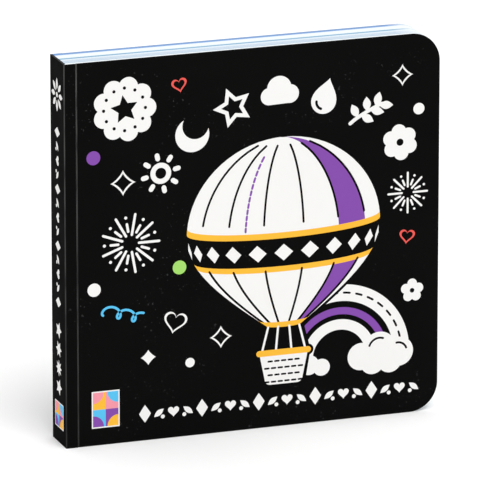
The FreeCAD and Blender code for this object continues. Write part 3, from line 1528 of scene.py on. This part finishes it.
class MeshBuilder:
    """Gathers the corners and faces of one piece, with a finish for each face."""

    made: ClassVar[dict[str, bpy.types.Material]] = {}
    sharp_from: ClassVar[float] = math.radians(40)

    def __init__(self, name: str) -> None:
        """Start an empty piece.

        Args:
            name: The name of the piece.
        """
        self.name = name
        self.places: list[Place] = []
        self.faces: list[tuple[int, ...]] = []
        self.looks: list[tuple[Finish, bool]] = []

    def ring(self, places: Sequence[Place]) -> list[int]:
        """Add a run of corners.

        Args:
            places: Where they lie.

        Returns:
            Their numbers.
        """
        start = len(self.places)
        self.places.extend(places)
        return list(range(start, len(self.places)))

    def face(self, corners: Sequence[int], finish: Finish, smooth: bool = False) -> None:
        """Add one face, leaving out corners that come twice.

        Args:
            corners: The numbers of its corners, in order.
            finish: Its finish.
            smooth: Whether it is shaded as part of a curve.
        """
        kept = tuple(corner for number, corner in enumerate(corners) if corner != corners[number - 1])
        if len(set(kept)) > 2:
            self.faces.append(kept)
            self.looks.append((finish, smooth))

    def bridge(self, first: Sequence[int], second: Sequence[int], finish: Finish,
               smooth: bool = True, closed: bool = True, last: Finish | None = None) -> None:
        """Join two rings with a band of faces.

        Args:
            first: One ring.
            second: The other ring, with as many corners.
            finish: The band's finish.
            smooth: Whether the band is shaded as a curve.
            closed: Whether the last corner joins the first.
            last: The finish of the closing face, if that differs.
        """
        count = len(first)
        for number in range(count if closed else count - 1):
            after = (number + 1) % count
            closing = last if last and number == count - 1 else finish
            self.face((first[number], first[after], second[after], second[number]), closing, smooth)

    def printed(self, border: Sequence[int], face: PrintedFace, place: Callable[[Point], Place]) -> None:
        """Fill a ring with a printed face.

        Args:
            border: The ring, one corner for each point of the face's border.
            face: The printed face.
            place: Where a point of the print lies.
        """
        points, triangles, inks, border_numbers = face.cut()
        known = dict(zip(border_numbers, border))
        inner = [number for number in range(len(points)) if number not in known]
        known.update(zip(inner, self.ring([place(points[number]) for number in inner])))
        for triangle, ink in zip(triangles, inks):
            self.face([known[number] for number in triangle], face.finish(ink))

    def build(self) -> bpy.types.Object:
        """Make the Blender object.

        Returns:
            The object, closed, with its faces turned outward and a material slot for each finish.
        """
        mesh = bpy.data.meshes.new(self.name)
        mesh.from_pydata(self.places, [], self.faces)
        finishes = list(dict.fromkeys(finish for finish, _ in self.looks))
        for finish in finishes:
            if finish.name not in self.made:
                self.made[finish.name] = finish.material()
            mesh.materials.append(self.made[finish.name])
        for polygon, (finish, smooth) in zip(mesh.polygons, self.looks):
            polygon.material_index = finishes.index(finish)
            polygon.use_smooth = smooth
        work = bmesh.new()
        work.from_mesh(mesh)
        bmesh.ops.recalc_face_normals(work, faces=work.faces)
        work.to_mesh(mesh)
        work.free()
        mesh.set_sharp_from_angle(angle=self.sharp_from)
        piece = bpy.data.objects.new(self.name, mesh)
        bpy.context.scene.collection.objects.link(piece)
        LOG.info("%s: %d faces, %d finishes", self.name, len(mesh.polygons), len(finishes))
        return piece


# The pieces of the book


@dataclass(frozen=True)
class BookSizes:
    """Where the faces of the closed book lie, in metres."""

    spine_x: float
    inside_x: float
    crease_x: float
    fore_x: float
    height: float
    block_y: float
    board_y: float
    cover_y: float
    corner_radius: float = 12.2 * MM
    rim_radius: float = 0.3 * MM
    crease_depth: float = 0.3 * MM
    fold_radius: float = 0.4 * MM
    gap_depth: float = 0.6 * MM
    gap_width: float = 0.24 * MM
    corner_steps: int = 28

    @classmethod
    def from_frame(cls) -> "BookSizes":
        """Read the faces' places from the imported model.

        Returns:
            The sizes.
        """
        spine_low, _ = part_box("spine_cover")
        block_low, block_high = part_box("page_block")
        cover_low, cover_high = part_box("front_cover")
        _, sheet_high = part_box("front_pastedown")
        return cls(
            spine_x=spine_low.x, inside_x=block_low.x, crease_x=cover_low.x, fore_x=cover_high.x,
            height=block_high.z, block_y=-sheet_high.y, board_y=-cover_high.y, cover_y=-cover_low.y)

    def outline(self, left: float, inset: float = 0.0, stop: float | None = None) -> Outline:
        """The trimmed edge of a board: tail, corner, fore-edge, corner, head.

        Args:
            left: Where the outline starts and ends, nearest the spine.
            inset: How far inside the trimmed edge it runs.
            stop: Where the tail and the head have one more point, if they do.

        Returns:
            The points, in X and Z.
        """
        radius = self.corner_radius - inset
        middle_x = self.fore_x - self.corner_radius
        tail = arc_points((middle_x, self.corner_radius), radius, -90, 0, self.corner_steps)
        head = arc_points((middle_x, self.height - self.corner_radius), radius, 0, 90, self.corner_steps)
        stops = [left] if stop is None else [left, stop]
        tail_start = [(x, inset) for x in stops]
        head_end = [(x, self.height - inset) for x in reversed(stops)]
        return [*tail_start, *tail, *head, *head_end]

    def sheet_levels(self, bleed: float) -> tuple[tuple[float, float], ...]:
        """The steps of a pasted sheet's edge, from its page to the board.

        Args:
            bleed: How far the gap's tint reaches onto the edge.

        Returns:
            For each step how far inside the trimmed edge it is, and its distance from the book's middle.
        """
        lip = self.block_y + self.gap_width / 2
        return (self.gap_depth, self.block_y), (0.0, lip), (0.0, lip + bleed), (0.0, self.board_y)


@dataclass
class CoverBoard:
    """A cover panel from its crease to the fore-edge, with its print cut into the outer face."""

    sizes: BookSizes
    side: Side
    rim_steps: int = 4

    @property
    def name(self) -> str:
        """The node's name."""
        return f"{self.side.name.lower()}_cover"

    def place(self, point: Point) -> Place:
        """Where a point of the print lies on the outer face."""
        return (self.sizes.spine_x + point[0] * MM, self.side.value * self.sizes.cover_y, point[1] * MM)

    def ring_at(self, builder: MeshBuilder, inset: float, below: float) -> list[int]:
        """Add the board's outline at a depth under the printed face.

        Args:
            builder: The piece.
            inset: How far inside the trimmed edge it runs.
            below: The depth.

        Returns:
            The ring.
        """
        sizes = self.sizes
        left = sizes.crease_x + max(0.0, sizes.crease_depth - below)
        y = self.side.value * (sizes.cover_y - below)
        return builder.ring([(x, y, z) for x, z in sizes.outline(left, inset)])

    def build(self) -> bpy.types.Object:
        """Build the board.

        Returns:
            The piece.
        """
        sizes = self.sizes
        builder = MeshBuilder(self.name + "_board")
        rim = []
        for step in range(self.rim_steps + 1):
            angle = math.pi / 2 * step / self.rim_steps
            rim.append(self.ring_at(builder, sizes.rim_radius * (1 - math.sin(angle)),
                                    sizes.rim_radius * (1 - math.cos(angle))))
        rim.append(self.ring_at(builder, 0.0, sizes.cover_y - sizes.board_y))

        looks = [RIM_WEAR] * self.rim_steps + [BOARD_EDGES[self.side]]
        for first, second, look in zip(rim, rim[1:], looks):
            # The rim's end at the crease takes the crease grey, which is partly a painted highlight.
            last = WHITE_EDGE if second is rim[-1] else CREASE_WEAR_AND_HIGHLIGHT
            builder.bridge(first, second, look, last=last)
        builder.face(rim[-1], WHITE_EDGE)

        border = [((x - sizes.spine_x) / MM, z / MM)
                  for x, z in sizes.outline(sizes.crease_x + sizes.crease_depth, sizes.rim_radius)]
        art = FrontArtwork().artwork() if self.side is Side.FRONT else Artwork()
        builder.printed(rim[0], PrintedFace(border, art), self.place)
        return builder.build()


@dataclass
class Pastedown:
    """The printed sheet inside a cover, its page face towards the leaves."""

    sizes: BookSizes
    side: Side

    def build(self) -> bpy.types.Object:
        """Build the sheet.

        Returns:
            The piece.
        """
        sizes = self.sizes
        builder = MeshBuilder(f"{self.side.name.lower()}_pastedown_sheet")
        rings = []
        for inset, y in sizes.sheet_levels(SHEET_GAPS[self.side].bleed):
            outline = sizes.outline(sizes.crease_x, inset)
            rings.append(builder.ring([(x, self.side.value * y, z) for x, z in outline]))
        builder.face(rings[0], PAGE_PRINT)
        for first, second, look in zip(rings, rings[1:], sheet_looks(self.side)):
            builder.bridge(first, second, look, smooth=first is not rings[0], last=WHITE_EDGE)
        builder.face(rings[-1], WHITE_EDGE)
        return builder.build()


@dataclass
class PageBlock:
    """The leaves between the covers, each trimmed a hair differently, and the gutter stubs."""

    sizes: BookSizes
    trim_spread: float = 0.07 * MM
    seed: int = 11

    def ring_at(self, builder: MeshBuilder, inset: float, y: float) -> list[int]:
        """Add the block's outline, with a point at the crease on the tail and on the head.

        Args:
            builder: The piece.
            inset: How far inside the trimmed edge it runs.
            y: The place of the ring in the book's thickness.

        Returns:
            The ring.
        """
        sizes = self.sizes
        return builder.ring([(x, y, z) for x, z in sizes.outline(sizes.inside_x, inset, sizes.crease_x)])

    def build(self) -> bpy.types.Object:
        """Build the block.

        Returns:
            The piece.
        """
        sizes = self.sizes
        draw = random.Random(self.seed)
        builder = MeshBuilder("page_leaves")
        thickness = 2 * sizes.block_y / len(LEAF_EDGES)
        half_gap = sizes.gap_width / 2
        edge = self.ring_at(builder, sizes.gap_depth, -sizes.block_y)
        self.add_page(builder, edge, Side.FRONT)
        for number, trimmed in enumerate(LEAF_EDGES):
            low = -sizes.block_y + number * thickness
            high = low + thickness
            trim = draw.uniform(0.0, self.trim_spread)
            before, after = PAGE_GAPS[number], PAGE_GAPS[number + 1]
            levels = (
                (trim, low + half_gap, before.finish()),
                (trim, low + half_gap + before.bleed, before.finish()),
                (trim, high - half_gap - after.bleed, trimmed),
                (trim, high - half_gap, after.finish()),
                (sizes.gap_depth, high, after.finish()),
            )
            for inset, y, look in levels:
                following = self.ring_at(builder, inset, y)
                builder.bridge(edge, following, look, smooth=inset == trim, last=WHITE_EDGE)
                edge = following
        self.add_page(builder, edge, Side.BACK)
        return builder.build()

    def add_page(self, builder: MeshBuilder, edge: list[int], side: Side) -> None:
        """Add an outer page, and beside it the glued stub of the pasted sheet up to the crease.

        Args:
            builder: The piece.
            edge: The ring round the page and the stub's root.
            side: The cover over the page.
        """
        sizes = self.sizes
        builder.face(edge[1:-1], PAGE_PRINT)
        ring = [edge[0], edge[1], edge[-2], edge[-1]]
        for (inset, y), look in zip(sizes.sheet_levels(SHEET_GAPS[side].bleed)[1:], sheet_looks(side)):
            low, high = inset, sizes.height - inset
            stub = ((sizes.inside_x, low), (sizes.crease_x, low),
                    (sizes.crease_x, high), (sizes.inside_x, high))
            following = builder.ring([(x, side.value * y, z) for x, z in stub])
            builder.bridge(ring, following, look, smooth=False)
            ring = following
        builder.face(ring, WHITE_EDGE)


@dataclass
class SpineBoard:
    """The folded board at the spine, printed outside, with a strip up to each crease."""

    sizes: BookSizes
    fold_steps: int = 6
    room: float = 0.01 * MM

    @property
    def outer_y(self) -> float:
        """How far out the strips' print lies, with a hair of room for a cover that is folded back."""
        return self.sizes.cover_y - self.room

    def place(self, point: Point) -> Place:
        """Where a point of the print lies on the spine."""
        return (self.sizes.spine_x, -point[0] * MM, point[1] * MM)

    def section(self) -> list[tuple[Point, Point, Finish]]:
        """The folded section from one crease to the other.

        Returns:
            For each step an outer point, the inner point across the board from it, and the finish
            of the outer face from it to the next step.
        """
        sizes = self.sizes
        black = INKS[Ink.BLACK]
        radius, lip = sizes.fold_radius, sizes.crease_x - sizes.crease_depth
        root = (sizes.inside_x, sizes.board_y)
        fold_centre = (sizes.spine_x + radius, self.outer_y - radius)
        fold = arc_points(fold_centre, radius, 90, 180, self.fold_steps)
        half = [
            ((sizes.crease_x, sizes.cover_y - sizes.crease_depth), (sizes.crease_x, sizes.board_y)),
            ((lip, self.outer_y), (lip, sizes.board_y)),
            *((outer, root) for outer in fold),
        ]
        front = [((x, -y), (inner_x, -inner_y)) for (x, y), (inner_x, inner_y) in half]
        # The crease and the fold take grey that is partly rubbed fibre and partly a painted highlight.
        towards_fold = [CREASE_WEAR_AND_HIGHLIGHT, black, *[FOLD_WEAR_AND_HIGHLIGHT] * self.fold_steps]
        looks = [*towards_fold, black, *reversed(towards_fold), WHITE_EDGE]
        return [(outer, inner, look) for (outer, inner), look in zip([*front, *reversed(half)], looks)]

    def build(self) -> bpy.types.Object:
        """Build the folded board.

        Returns:
            The piece.
        """
        sizes = self.sizes
        builder = MeshBuilder("spine_board")
        steps = self.section()
        spine_step = len(steps) // 2 - 1
        inner_places = list(dict.fromkeys(inner for _, inner, _ in steps))
        rings = {}
        for level in (0.0, sizes.height):
            outer = builder.ring([(x, y, level) for (x, y), _, _ in steps])
            inner = dict(zip(inner_places, builder.ring([(x, y, level) for x, y in inner_places])))
            rings[level] = (outer, [inner[place] for _, place, _ in steps])
        (outer_low, inner_low), (outer_high, inner_high) = rings[0.0], rings[sizes.height]

        for number in range(len(steps) - 1):
            after = number + 1
            on_spine = spine_step - self.fold_steps <= number <= spine_step + self.fold_steps
            strip = BOARD_EDGES[Side.FRONT if number < spine_step else Side.BACK]
            cut = CUT_BLACK if on_spine else strip
            if number != spine_step:
                builder.face((outer_low[number], outer_low[after], outer_high[after], outer_high[number]),
                             steps[number][2], smooth=steps[number][2] is FOLD_WEAR_AND_HIGHLIGHT)
            builder.face((inner_low[number], inner_low[after], inner_high[after], inner_high[number]),
                         WHITE_EDGE)
            for outer, inner in ((outer_low, inner_low), (outer_high, inner_high)):
                builder.face((outer[number], outer[after], inner[after], inner[number]), cut)
        for end in (0, -1):
            builder.face((outer_low[end], outer_high[end], inner_high[end], inner_low[end]), WHITE_EDGE)

        half = (self.outer_y - sizes.fold_radius) / MM
        height = sizes.height / MM
        border = [(half, 0.0), (-half, 0.0), (-half, height), (half, height)]
        corners = (outer_low[spine_step], outer_low[spine_step + 1],
                   outer_high[spine_step + 1], outer_high[spine_step])
        # The spine's black is the copy whose colour and missing sheen are set for the light on the spine.
        builder.printed(corners, PrintedFace(border, SpineArtwork().artwork(), SPINE_BLACK_SET_FOR_LIGHT), self.place)
        return builder.build()


@dataclass
class GutterPaper:
    """The paper strip at a crease, built folded flat and hidden in the closed joint; in the book it shows
    when a cover opens.
    """

    sizes: BookSizes
    side: Side
    clearance: float = 0.02 * MM
    thickness: float = 0.05 * MM
    trim: float = 0.15 * MM

    def folded(self, away: float, page_end: float, fold_end: float) -> list[Point]:
        """Half of the strip's section, from the page side to the fold and back, in X and Y.

        Args:
            away: How far each leg stands off the joint's middle.
            page_end: Where the legs end beside the page.
            fold_end: Where they meet in the fold.

        Returns:
            The points, first the leg on the block and then the leg on the cover.
        """
        crease = self.sizes.crease_x
        return [(crease + away, page_end), (crease + away, fold_end), (crease, fold_end + away),
                (crease - away, fold_end), (crease - away, page_end)]

    def build(self) -> bpy.types.Object:
        """Build the paper strip.

        Returns:
            The piece, folded flat at the crease: its page side outward, its board side within.
        """
        sizes = self.sizes
        builder = MeshBuilder(f"{self.side.name.lower()}_gutter_paper")
        page_end = sizes.block_y + self.clearance
        fold_end = sizes.cover_y - sizes.crease_depth - 2 * self.thickness
        page_side = self.folded(self.clearance + self.thickness, page_end, fold_end)
        board_side = self.folded(self.clearance, page_end, fold_end)
        ends = []
        for level in (self.trim, sizes.height - self.trim):
            ends.append([builder.ring([(x, self.side.value * y, level) for x, y in line])
                         for line in (page_side, board_side)])
        (low_page, low_board), (high_page, high_board) = ends
        builder.bridge(low_page, high_page, PAGE_PRINT, closed=False)
        # The board side takes the crease grey, which is partly a painted highlight.
        builder.bridge(low_board, high_board, CREASE_WEAR_AND_HIGHLIGHT, closed=False)
        builder.bridge(low_page, low_board, WHITE_EDGE, smooth=False, closed=False)
        builder.bridge(high_page, high_board, WHITE_EDGE, smooth=False, closed=False)
        for end in (0, -1):
            builder.face((low_page[end], high_page[end], high_board[end], low_board[end]), WHITE_EDGE)
        return builder.build()


# The studio


@dataclass
class Studio:
    """A pale floor, soft light and the camera."""

    floor_radius: float = 9.0
    floor_steps: int = 64
    floor_colour: Colour = (0.88, 0.88, 0.88)
    floor_lift: float = 1.01
    floor_waves: float = 3.0
    floor_roughness: float = 0.9
    sky_strength: float = 0.9
    key_strength: float = 1.5
    key_spread: float = 32.0
    key_from: Place = (0.03, -0.5, 1.0)
    camera_turn: float = 19.433
    camera_tilt: float = 16.146
    camera_distance: float = 2.81
    camera_aim: Place = (-0.00558, -0.0083, 0.08032)
    camera_reach: float = 40.0
    lens: float = 522.6
    sensor: float = 36.0

    def floor(self) -> None:
        """Lay the floor as one wide disc."""
        mesh = bpy.data.meshes.new("floor")
        corners = disc((0.0, 0.0), self.floor_radius, self.floor_steps)
        mesh.from_pydata([(x, y, 0.0) for x, y in corners], [], [tuple(range(len(corners)))])
        board = NodeBoard("pale_floor")
        tone = board.mixed(board.noise(self.floor_waves), self.floor_colour,
                           scaled(self.floor_colour, self.floor_lift))
        board.link(tone, board.shader.inputs["Base Color"])
        board.shader.inputs["Roughness"].default_value = self.floor_roughness
        board.shader.inputs["Specular IOR Level"].default_value = 0.0
        mesh.materials.append(board.material)
        floor = bpy.data.objects.new("floor", mesh)
        bpy.context.scene.collection.objects.link(floor)
        floor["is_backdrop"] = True

    def light(self) -> None:
        """Set the even sky and the soft key light from above the front."""
        world = bpy.data.worlds.new("studio_sky")
        world.use_nodes = True
        sky = world.node_tree.nodes["Background"]
        sky.inputs["Color"].default_value = (1, 1, 1, 1)
        sky.inputs["Strength"].default_value = self.sky_strength
        bpy.context.scene.world = world

        data = bpy.data.lights.new("key", "SUN")
        data.energy = self.key_strength
        data.angle = math.radians(self.key_spread)
        key = bpy.data.objects.new("key", data)
        key.rotation_euler = Vector(self.key_from).to_track_quat("Z", "Y").to_euler()
        bpy.context.scene.collection.objects.link(key)

    def camera(self) -> None:
        """Stand the camera where the photograph was taken from."""
        turn, tilt = math.radians(self.camera_turn), math.radians(self.camera_tilt)
        ahead = Vector((math.sin(turn) * math.cos(tilt), math.cos(turn) * math.cos(tilt), -math.sin(tilt)))
        data = bpy.data.cameras.new("camera")
        data.sensor_width = self.sensor
        data.lens = self.lens
        data.clip_end = self.camera_reach
        camera = bpy.data.objects.new("camera", data)
        camera.location = Vector(self.camera_aim) - ahead * self.camera_distance
        camera.rotation_euler = ahead.to_track_quat("-Z", "Y").to_euler()
        bpy.context.scene.collection.objects.link(camera)
        bpy.context.scene.camera = camera

    def set_up(self) -> None:
        """Set up the whole studio."""
        self.floor()
        self.light()
        self.camera()
        bpy.context.scene.view_settings.view_transform = "Standard"
        bpy.context.scene.view_settings.look = "None"


def main() -> None:
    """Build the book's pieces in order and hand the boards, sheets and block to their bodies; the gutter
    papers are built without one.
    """
    logging.basicConfig(level=logging.INFO, format="%(name)s: %(message)s")
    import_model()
    cad_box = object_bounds()
    Studio().set_up()
    sizes = BookSizes.from_frame()

    pieces = [
        (SpineBoard(sizes).build(), "block", "spine_cover", "printed_board"),
        (PageBlock(sizes).build(), "block", "page_block", "white_board"),
    ]
    for side in Side:
        body = side.name.lower()
        pieces.append((CoverBoard(sizes, side).build(), body, f"{body}_cover", "printed_board"))
        pieces.append((Pastedown(sizes, side).build(), body, f"{body}_pastedown", "white_board"))
    for piece, body, node, slot in pieces:
        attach(piece, body)
        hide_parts(node)
        LOG.info("%s stands for %s on body %s", piece.name, node, body)

    for side in Side:
        paper = GutterPaper(sizes, side)
        piece = paper.build()
        side.name.lower()
        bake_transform(piece)
        LOG.info("%s bends between block and %s", piece.name, side.name.lower())

    boxes = {"cad": cad_box, "visual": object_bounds()}
    {name: [list(corner) for corner in box] for name, box in boxes.items()}


if __name__ == "__main__":
    main()
